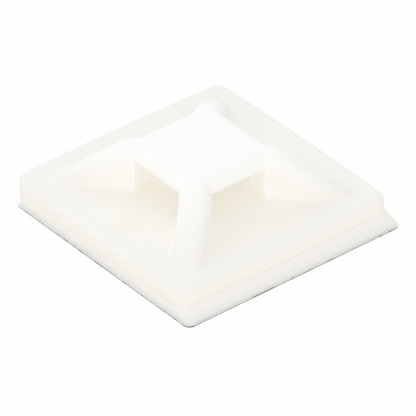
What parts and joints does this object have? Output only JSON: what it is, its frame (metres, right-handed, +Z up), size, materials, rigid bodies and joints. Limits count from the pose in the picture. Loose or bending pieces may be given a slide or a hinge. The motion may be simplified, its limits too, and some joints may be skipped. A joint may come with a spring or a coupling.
{
  "type": "cable tie mount",
  "caption": "Square self-adhesive cable tie mount: a raised table on diagonal ribs over crossing tie slots, with a foam tape and a release liner underneath.",
  "frame": {"origin": "on the underside of the release liner, below the middle of the table", "axes": "+Z up from the surface that the mount sticks to; X and Y along the two tie slots; the tape sticks out past the plate towards -Y"},
  "size_m": [0.02, 0.0207, 0.0058],
  "materials": {
    "natural_nylon": "milky natural nylon, as moulded, softly translucent",
    "tape_foam": "white closed-cell foam with adhesive on both faces",
    "liner_film": "thin coated release film"
  },
  "bodies": {
    "root": {"mount_body": "natural_nylon", "foam_tape": "tape_foam", "release_liner": "liner_film"}
  },
  "joints": []
}
